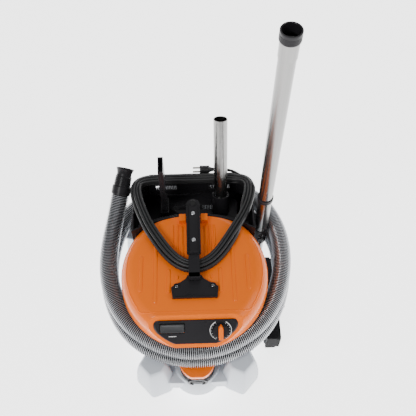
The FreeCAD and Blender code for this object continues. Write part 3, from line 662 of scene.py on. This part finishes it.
def knob():
    """The speed knob: a knurled skirt on its spindle, and a pointed grip across it."""
    def ring(radius, n, knurl):
        spots = []
        for i in range(4 * KNURLS):
            a = 2 * math.pi * i / (4 * KNURLS)
            r = radius - knurl * (0.5 + 0.5 * math.cos(KNURLS * a))
            spots.append(facet(KNOB_X + r * math.cos(a), KNOB_S + r * math.sin(a), n))
        return spots

    base = Form().loft([ring(18.6, 3.4, 0), ring(19, 3.8, 0.9), ring(18.8, 7.6, 0.9),
                        ring(18.2, 8.7, 0.3), ring(17.2, 9.0, 0), ring(14, 9.0, 0)])
    base.loft([ring(3, -16, 0), ring(3, 3.6, 0)])
    base.piece("knob_base_form", "speed_knob", "black_plastic", ["knob_base"], weighted=False)

    outline = [(-5.5, 16), (-4.2, 17), (4.2, 17), (5.5, 16), (5.5, -12), (0.9, -19.6), (-0.9, -19.6),
               (-5.5, -12)]
    rings = [[facet(KNOB_X + x, KNOB_S + s, n) for x, s in scaled(outline, k, k)]
             for k, n in ((1, 9), (1, 17.5), (0.96, 19.2), (0.84, 20))]
    grip = Form().loft(rings)
    grip.piece("knob_grip_form", "speed_knob", "orange_plastic", ["knob_grip"], bevel=0.5)


def dial_marks():
    """Printed marks: two tapering arcs with ticks beside the knob, and a dash below the rocker."""
    marks = Form()

    def mark(outline, thickness):
        marks.loft([[facet(x, s, n) for x, s in outline] for n in (PRINT_N, PRINT_N + thickness)])

    for side in (1, -1):
        inner, outer = [], []
        for k in range(25):
            a = math.radians(-62 + 124 * k / 24)
            wide = 0.5 + 1.5 * k / 24
            for edge, r in ((inner, 24.5), (outer, 24.5 + wide)):
                edge.append((KNOB_X + side * r * math.cos(a), KNOB_S - r * math.sin(a)))
        mark(inner + outer[::-1], 0.35)
        for k in range(7):
            a = math.radians(-60 + 20 * k)
            cos, sin = math.cos(a), math.sin(a)
            tick = [(r * cos - w * sin, r * sin + w * cos)
                    for r, w in ((20.6, 0.35), (22.8, 0.35), (22.8, -0.35), (20.6, -0.35))]
            mark([(KNOB_X + side * x, KNOB_S - s) for x, s in tick], 0.3)
    mark(moved(rounded_rect(9, 0.7, 0.6, 3), ROCKER_X, 54), 0.3)
    marks.piece("dial_marks", "head", "marking", weighted=False)


# ---------- carry handle ----------

def handle():
    """The carry handle: a foot with its legs, the bar with side flanges, screw wells and an eye."""
    foot_top, leg_top, flange_top = 353.6, 376, 386
    bar_low, bar_top = 372, 379.5
    form = Form()
    shoulder = [(44, -46), (32, -40), (22, -33), (18, -27), (18, -24)]
    foot = [(-53, -81), (53, -81)] + arc(51, -56, 5, 0, 50, 4) + shoulder + mirrored(shoulder)
    prism(form, foot + arc(-51, -56, 5, 130, 180, 4), COVER_TOP, foot_top)
    block(form, (0, -67), (49, 10), 3, 353.2, 355.0, 0.6)
    well = [(7.4, 353), (7.4, 355.4), (6.9, 356), (5.6, 356), (5.1, 355.4), (5.1, 353)]
    for x in (-FOOT_SCREW_X, FOOT_SCREW_X):
        form.turned(well, (x, FOOT_SCREW_Y, 0), UP, 32, closed=True)
    block(form, (0, -33), (14, 6.5), 2, 353, leg_top, 1.0)
    block(form, (0, -7), (13.5, 32), 2, leg_top - 7, leg_top, 1.0)
    bar = [(-17, 22), (-15, 20), (15, 20), (17, 22), (17, 158)] + arc(0, 158, 17, 10, 170, 18)
    prism(form, bar + [(-17, 158)], bar_low, bar_top, 1.0)
    for side in (-1, 1):
        block(form, (side * 15.2, 89), (1.8, 68), 1.2, 378, flange_top)
    block(form, (0, 24), (13.2, 2.2), 1, 378, 382)
    block(form, (0, 132.5), (16.5, 8), 2, COVER_TOP, 373, 0.6)
    form.turned([(6.2, 378.8), (9, 378.8), (9, 380.4), (8.2, 381), (7, 381), (6.2, 380.2)],
                (0, BAR_EYE_Y, 0), UP, 32, closed=True)
    form.piece("carry_handle_form", "head", "black_plastic", ["carry_handle"])

    # Near-black discs in the eye and the screw wells and a strip in the foot's slot: painted shade in these
    # hollows
    dark = Form()
    dark.turned([(0.3, 379.3), (6.2, 379.3), (6.2, 379.9), (0.3, 379.9)], (0, BAR_EYE_Y, 0), UP, 32)
    for x in (-FOOT_SCREW_X, FOOT_SCREW_X):
        dark.turned([(0.3, 353.3), (4.9, 353.3), (4.9, 353.9), (0.3, 353.9)], (x, FOOT_SCREW_Y, 0), UP, 24)
    block(dark, (0, -70), (19, 2.6), 1.2, 354.6, 355.4, 0.2)
    dark.piece("handle_recesses", "head", "hole_shade", weighted=False)
    rib = moved(rounded_rect(20.4, 4.0, 1.4, 3), 0, -70)
    rib = Form().loft([at_height(rib, z) for z in (354.8, 355.6)])
    rib.piece("handle_foot_rib", "head", "black_plastic", weighted=False)


def screw(form, x, y, radius, low, high):
    """A pan head with a cross recess."""
    recess_depth = 1.1
    rings = [at_height(moved(circle(radius, 40), x, y), low)]
    for share in (1, 0.97, 0.85, 0.6, 0.42, 0.25, 0.1):
        r = radius * share
        ring = []
        for a, b in circle(r, 40):
            z = low + (high - low) * math.sqrt(max(0.0, 1 - (r / radius) ** 2 * 0.75))
            if r < radius * 0.7 and min(abs(a), abs(b)) < radius * 0.16:
                z -= recess_depth
            ring.append((x + a, y + b, z))
        rings.append(ring)
    form.loft(rings)


def handle_screws():
    """The heads of two screws in the bar and two in the foot."""
    form = Form()
    for y in BAR_SCREWS_Y:
        screw(form, 0, y, 5.0, 379, 381.6)
    for x in (-FOOT_SCREW_X, FOOT_SCREW_X):
        screw(form, x, FOOT_SCREW_Y, 4.5, 352, 354.6)
    form.piece("handle_screw_heads", "head", "steel", ["handle_screws"], weighted=False)


# ---------- front boss and base ----------

def boss():
    """The inlet boss at the front: a dark ribbed body with a round mouth under an orange cap."""
    front, back = -219, -152
    plan = [(x, max(y, front)) for x, y in arc(0, BOSS_Y, BOSS_R, 180, 360, 30)]
    plan += [(BOSS_R, back), (-BOSS_R, back)]
    rim = scaled(plan, 0.985)
    cap = Form()
    prism(cap, rim, 157, 175.8, 3.2)
    cap.piece("boss_cap_form", "base", "orange_plastic", ["boss_cap"])

    body = Form()
    prism(body, moved(scaled(plan, 0.97), 0, 1.5), 106, 157.4, 2.0)
    prism(body, moved(scaled(plan, 0.84, 0.93), 0, -16), 78, 108, 2.0)
    for k in range(3):
        prism(body, rim, 150 - 11 * k, 153 - 11 * k)
    body.turned([(24, 0), (26, 0.6), (26, 5), (25, 6), (20.5, 6), (20, 5.4), (20, 0)],
                (0, -213.5, BOSS_MOUTH_Z), (0, -1, 0), 48, closed=True)
    body.piece("front_boss_form", "base", "black_plastic", ["front_boss"])
    # A near-black disc just inside the mouth: painted shade for the hollow inlet
    mouth = Form().turned([(0.3, 0), (20, 0), (20, 1.4), (0.3, 1.4)], (0, -214, BOSS_MOUTH_Z),
                          (0, -1, 0), 40)
    mouth.piece("front_boss_mouth", "base", "hole_shade", weighted=False)


def lobe_ring(spot, direction, scale, z):
    """The lobe's plan, scaled about its castor, with its flat end facing the given direction."""
    out = Vector(direction).normalized()
    across = Vector((-out.y, out.x))
    ring = []
    for n, t in rounded(LOBE_PLAN, 9):
        at = Vector(spot) + (out * n + across * t) * scale
        ring.append((at.x, at.y, z))
    return ring


def castor_lobe(form, spot, direction):
    """A hollow lobe: its ceiling, inner wall, foot and outer wall, with a ribbed sleeve inside."""
    form.loft([lobe_ring(spot, direction, scale, z) for scale, z in
               ((0.80, 101), (0.86, 98), (0.93, 60), (0.94, 34.6), (0.955, 34), (0.985, 34),
                (1.0, 35.2), (0.98, 60), (0.905, 105), (0.77, 148), (0.68, 166), (0.62, 172.5),
                (0.55, 175))])
    form.turned([(5.4, 58), (12, 58), (12, 103), (5.4, 103)], (*spot, 0), UP, 32, closed=True)
    for rib in (rectangle(13, 36, -1.5, 1.5), rectangle(-36, -13, -1.5, 1.5),
                rectangle(-1.5, 1.5, 13, 36), rectangle(-1.5, 1.5, -36, -13)):
        prism(form, moved(rib, *spot), 60, 102, 0.4)


def reach_at(outline, angle):
    """How far a star-shaped outline reaches from the origin in one direction."""
    on = Vector((math.cos(angle), math.sin(angle)))
    far = 0.0
    for k, end in enumerate(outline):
        a, b = Vector(outline[k - 1]), Vector(end)
        run = b - a
        cross = on.x * run.y - on.y * run.x
        if abs(cross) < 1e-9:
            continue
        t, u = (a.x * run.y - a.y * run.x) / cross, (a.x * on.y - a.y * on.x) / cross
        if t > 0 and -1e-6 <= u <= 1 + 1e-6:
            far = max(far, t)
    return far


def loop_at(outline, z, steps=240):
    """The outline at one height, as points at even angles round the origin."""
    loop = []
    for k in range(steps):
        a = 2 * math.pi * k / steps
        r = reach_at(outline, a)
        loop.append((r * math.cos(a), r * math.sin(a), z))
    return loop


def tub_outline(grow):
    """The tub's plan, grown outwards: round in front, square with round corners at the rear."""
    half, rear, corner = TUB_HALF + grow, TUB_REAR + grow, TUB_CORNER + grow
    return (arc(0, 0, half, 180, 360, 60) + arc(half - corner, rear - corner, corner, 0, 90, 20)
            + arc(corner - half, rear - corner, corner, 90, 180, 20))


def deck(form):
    """The deck ring round the tub, open in the middle, with a ledge that carries the tub."""
    right = [(0, -215), (78, -212), (66, -190), (124, -122), (155, -118), (158, -60), (158, 60),
             (160, 120), (161, 141), (95, 214), (88, 236), (0, 232)]
    outline = right + mirrored(right[1:-1])
    wall, hole, ledge = tub_outline(0.8), tub_outline(-12), 65.6
    form.loft([loop_at(outline, DECK_LOW), loop_at(outline, DECK_TOP - 1),
               loop_at(scaled(outline, 0.993, 0.993), DECK_TOP), loop_at(wall, DECK_TOP),
               loop_at(wall, ledge), loop_at(hole, ledge), loop_at(hole, DECK_LOW)], closed=True)


def front_bulge(form):
    """The rounded bulge under the boss."""
    rings = []
    front_y, back_y = -160, -149
    for r, z in ((69, 42), (70, 43), (69.4, 60), (67.5, 80), (64, 98), (60.5, 108), (58.5, 111), (56, 112)):
        rings.append(at_height(arc(0, front_y, r, 180, 360, 36) + [(r, back_y), (-r, back_y)], z))
    form.loft(rings)


def wand_cup(form):
    """The wand's foot cup: a floor and a wall that is open at the front, on a bracket."""
    x, y = WAND
    form.turned([(0.5, 86), (19.5, 86), (20, 86.6), (20, 89.6), (19.6, 90), (0.5, 90)], (x, y, 0), UP, 48)
    section = ((14.6, 89), (19.8, 89), (19.8, 119.2), (19, 120), (15.4, 120), (14.6, 119.2))
    rings = []
    for k in range(33):
        a = math.radians(-38 + 256 * k / 32)
        rings.append([(x + r * math.cos(a), y + r * math.sin(a), z) for r, z in section])
    form.loft(rings)
    prism(form, rectangle(152, 188, 138, 154), 60, 87)


def chassis():
    """The pale base: four angular lobes over the castors, deck, bulge, rear hose rests and wand cup."""
    form = Form()
    for corner in ("fr", "fl", "rr", "rl"):
        spot = pivot(f"castor_{corner}_swivel")
        way_x, way_y = LOBE_WAYS[corner[0]]
        castor_lobe(form, spot, (math.copysign(way_x, spot[0]), way_y))
    deck(form)
    front_bulge(form)
    rest = [(0.5, 112), (16, 112), (22, 126), (38, 160), (40, 164), (40, REST_TOP - 1.5),
            (39, REST_TOP - 0.2), (38, REST_TOP), (0.5, REST_TOP)]
    for side in (1, -1):
        form.turned(rest, (side * REST_X, REST_Y, 0), UP, 48)
    wand_cup(form)
    form.piece("castor_base_form", "base", "grey_plastic", ["castor_base"], angle=30)


# ---------- cover and tray ----------

def cover_flutes():
    """Long raised flutes moulded in the cover's top."""
    # x, front end, rear end and half width of each, on the right
    flutes = ((62, -66, -2, 5.0), (94, -92, 62, 5.0), (129, -62, 34, 5.0), (30, 30, 116, 4.5))
    low, rise = 344.6, 3.0
    form = Form()
    for side in (1, -1):
        for x, front, rear, wide in flutes:
            rings = []
            for k in range(9):
                a = math.pi * k / 8
                half_x = wide * math.cos(a / 2)
                half_y = (rear - front) / 2 - (wide - half_x)
                outline = rounded_rect(max(0.4, half_x), half_y, max(0.35, half_x - 0.05), 4)
                outline = moved(outline, side * x, (front + rear) / 2)
                rings.append(at_height(outline, low + rise * math.sin(a / 2)))
            form.loft(rings)
    form.piece("cover_flutes", "head", "orange_plastic", weighted=False)


def cover_bead():
    """A fine raised line along the plateau's edge, laid on the cover's own surface."""
    work = bmesh.new()
    work.from_mesh(nodes["motor_cover"].data)
    skin = BVHTree.FromBMesh(work)
    work.free()
    front_y, side_r, above = -112, 166, 0.5
    section = ((-1.9, -0.6), (-1.5, 0.3), (-0.7, 0.95), (0.7, 0.95), (1.5, 0.3), (1.9, -0.6))
    right = [(12 * k, front_y) for k in range(10)] + [(118, -111), (127, -108), (134, -102)]
    right += [(side_r * math.cos(math.radians(a)), side_r * math.sin(math.radians(a)))
              for a in range(-35, 36, 3)]
    path = [Vector(p) for p in mirrored(right[1:]) + right]
    rings = []
    for k, spot in enumerate(path):
        along = (path[min(k + 1, len(path) - 1)] - path[max(k - 1, 0)]).normalized()
        hit = skin.ray_cast(Vector((spot.x * MM, spot.y * MM, above)), Vector((0, 0, -1)))[0]
        rings.append([(spot.x + along.y * w, spot.y - along.x * w, hit.z / MM + h) for w, h in section])
    Form().loft(rings).piece("cover_edge_line", "head", "orange_plastic", weighted=False)


def rear_lip():
    """The stepped black lip between the cover and the tray, on an arc about a point ahead of it."""
    centre_y, half_angle, ease = -180, 24.5, 1
    form = Form()
    for near, far, low, high in ((328.4, 333.5, 322, 341), (333.5, 341, 318, 333)):
        section = ((near, low), (far, low), (far, high - ease), (far - ease, high),
                   (near + ease, high), (near, high - ease))
        rings = []
        for k in range(41):
            a = math.radians(-half_angle + 2 * half_angle * k / 40)
            rings.append([(r * math.sin(a), centre_y + r * math.cos(a), z) for r, z in section])
        form.loft(rings)
    form.piece("tray_front_lip", "head", "black_plastic")


# ---------- tubes and tools ----------

def tube(node, body, outer, low, high, at, axis=UP, steps=72):
    """A thin chromed tube with eased ends, from its outer radius and its ends along the axis."""
    inner = outer - TUBE_WALL
    profile = [(outer - 0.3, low), (outer, low + 0.3), (outer, high - 0.5), (outer - 0.35, high),
               (inner + 0.35, high), (inner, high - 0.4), (inner, low + 0.3), (inner + 0.3, low)]
    form = Form().turned(profile, at, axis, steps, closed=True)
    form.piece(f"{node}_form", body, "chrome_tube", [node])


def ribbed(outer, low, high, pitch, depth):
    """Profile points of a row of low ribs."""
    profile, t = [], low
    while t + pitch <= high:
        profile += [(outer, t), (outer, t + pitch * 0.55), (outer - depth, t + pitch * 0.65),
                    (outer - depth, t + pitch * 0.9)]
        t += pitch
    return profile


def tubes():
    """The hand tube, and the wand with its top collar, the sleeve under it and the middle ring."""
    foot = (*WAND, 0)
    tube("hand_tube", "hand_tube", 17.5, -30, 228, HAND_AT, (0, math.sin(HAND_LEAN), math.cos(HAND_LEAN)))
    for node, body, steps in (("wand_outer", "wand_upper", 72), ("wand_inner", "wand_lower", 64)):
        (left, _, low), (right, _, high) = extent(node)
        tube(node, body, (right - left) / 2, low, high, foot, steps=steps)
    sleeve = [(17.1, 885), (18.1, 885), (18.4, 885.5), (18.4, 925), (17.1, 925)]
    sleeve = Form().turned(sleeve, foot, UP, 72, closed=True)
    sleeve.piece("wand_collar_sleeve", "wand_upper", "chrome_tube")

    collar = [(17.1, 923), (19.6, 923), (20.3, 923.8), (20.5, 925)] + ribbed(20.5, 926, 938, 3.0, 0.4)
    collar += [(20.5, 939), (20.5, 944), (19.9, 945), (17.8, 945), (17.1, 944.2)]
    ring = [(17, 415), (18.8, 415), (19.5, 416), (19.5, 419.5), (19.0, 420.5), (19.0, 422.5),
            (19.5, 423.5), (19.5, 427), (18.8, 428), (17, 428)]
    form = Form().turned(collar, foot, closed=True)
    form.turned(ring, foot, closed=True)
    form.piece("wand_collar_form", "wand_upper", "black_plastic", ["wand_collar"])


def crevice_ribs():
    """Four bands round the crevice tool and the moulding seam above them."""
    form = Form()
    band = moved(rounded_rect(7.3, 20.3, 1.6, 4), *CREVICE)
    for k in range(4):
        z = 300 + 7 * k
        form.loft([at_height(band, z), at_height(band, z + 2.6)])
    seam = moved(rounded_rect(0.7, 20.1, 0.5, 2), *CREVICE)
    form.loft([at_height(seam, 330), at_height(seam, 466)])
    form.piece("crevice_tool_ribs", "crevice_tool", "black_plastic", bevel=0.4)


# ---------- stage ----------

def stage():
    """A pale glowing floor, a white world and three soft lamps aimed at the machine's middle."""
    reach, aim = 40, Vector((0, 0, 0.25))
    floor = bpy.data.meshes.new("floor")
    floor.from_pydata(at_height(rectangle(-reach, reach, -reach, reach), 0), [], [(0, 1, 2, 3)])
    pale = material("floor", (0.93, 0.93, 0.93), 0.7, bump=0.0, shade=0.01)
    shader = pale.node_tree.nodes["Principled BSDF"]
    shader.inputs["Emission Color"].default_value = (1, 1, 1, 1)
    shader.inputs["Emission Strength"].default_value = 2.8
    floor.materials.append(pale)
    plane = bpy.data.objects.new("floor", floor)
    bpy.context.scene.collection.objects.link(plane)

    world = bpy.data.worlds.new("studio")
    world.use_nodes = True
    background = world.node_tree.nodes["Background"]
    background.inputs["Color"].default_value = (1, 1, 1, 1)
    background.inputs["Strength"].default_value = 0.5
    bpy.context.scene.world = world
    for name, place, size, power in (("key", (-1.2, -1.2, 2.4), 0.9, 30),
                                     ("fill", (1.9, -0.5, 1.6), 1.2, 10),
                                     ("rear", (0.3, 2.2, 1.8), 1.4, 10)):
        data = bpy.data.lights.new(name, "AREA")
        data.size, data.energy = size, power
        lamp = bpy.data.objects.new(name, data)
        lamp.location = place
        lamp.rotation_euler = (aim - Vector(place)).to_track_quat("-Z", "Y").to_euler()
        bpy.context.scene.collection.objects.link(lamp)


# ---------- the whole ----------

make_camera()

hose_piece, hose_line = hose()
cuffs = hose_cuffs()
cable_piece = mains_cable()
plug_pieces = plug()

for node, width in SOFTENED.items():
    soften(node, width)
for node, slot in SLOT_OF.items():
    if node not in SOFTENED:
        nodes[node].data.materials.clear()
        nodes[node].data.materials.append(MATERIALS[slot])

rocker()
knob()
dial_marks()
handle_screws()
handle()
boss()
chassis()
cover_flutes()
cover_bead()
rear_lip()
tubes()
crevice_ribs()
stage()
